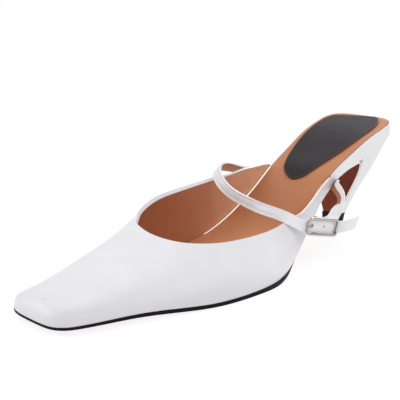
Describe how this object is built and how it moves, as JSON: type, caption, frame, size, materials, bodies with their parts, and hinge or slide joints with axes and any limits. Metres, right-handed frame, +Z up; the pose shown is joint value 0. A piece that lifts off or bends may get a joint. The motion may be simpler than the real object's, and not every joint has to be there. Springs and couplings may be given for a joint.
{
  "type": "pump shoe",
  "caption": "Square-toed mule pump for the left foot, with a buckled strap over the instep and a slanted, covered heel.",
  "frame": {"origin": "middle of the bounding box, on the floor", "axes": "+Y from the toe to the heel, +X towards the wearer's outer side, +Z up"},
  "size_m": [0.0838, 0.2508, 0.0606],
  "materials": {
    "white_leather": "smooth satin",
    "tan_leather": "matt smooth",
    "charcoal_leather": "matt fine grain",
    "brown_sole_leather": "satin stained",
    "black_rubber": "matt",
    "nickel": "polished"
  },
  "bodies": {
    "root": {"upper": "white_leather", "outsole": "brown_sole_leather", "footbed": "white_leather", "insole": "tan_leather", "heel_pad": "charcoal_leather", "heel": "white_leather", "top_lift": "black_rubber", "instep_strap": "white_leather", "buckle_strap": "white_leather", "buckle_frame": "nickel", "buckle_prong": "nickel"}
  },
  "joints": []
}
